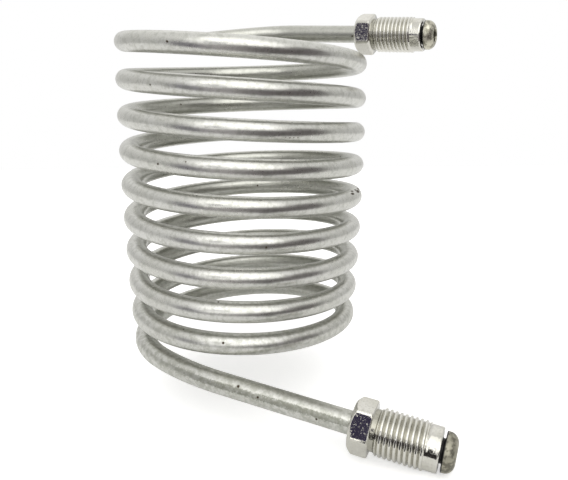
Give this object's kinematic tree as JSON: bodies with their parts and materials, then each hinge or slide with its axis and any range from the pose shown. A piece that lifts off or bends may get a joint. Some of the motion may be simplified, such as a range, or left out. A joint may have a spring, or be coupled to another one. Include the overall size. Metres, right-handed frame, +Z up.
{
  "type": "immersion coil",
  "caption": "Open helical coil of thin metal tube with two nearly parallel straight leads, each with a captive male tube nut behind a flared tube end.",
  "frame": {"origin": "on the coil's axis, level with the lowest point of the lower tube nut", "axes": "+Z up along the coil's axis, +X the way the upper lead runs out of the coil, on the +Y side; the lower lead leaves on the -Y side and is turned 5 degrees from +X towards +Y"},
  "size_m": [0.0915, 0.0638, 0.0959],
  "materials": {
    "tube": "satin zinc plating on steel",
    "nut": "bright zinc plating on turned steel"
  },
  "bodies": {
    "tube": {"coil": "tube", "upper_lead": "tube", "lower_lead": "tube"},
    "upper_nut": {"upper_tube_nut": "nut"},
    "lower_nut": {"lower_tube_nut": "nut"}
  },
  "joints": [
    {"name": "upper_nut_turn", "type": "hinge", "parent": "tube", "child": "upper_nut", "pos_m": [0.02979, 0.028, 0.09001], "axis": [0.9997, 0, -0.0262], "continuous": true},
    {"name": "lower_nut_turn", "type": "hinge", "parent": "tube", "child": "lower_nut", "pos_m": [0.04926, -0.02265, 0.00544], "axis": [0.9872, 0.0864, -0.134], "continuous": true}
  ]
}
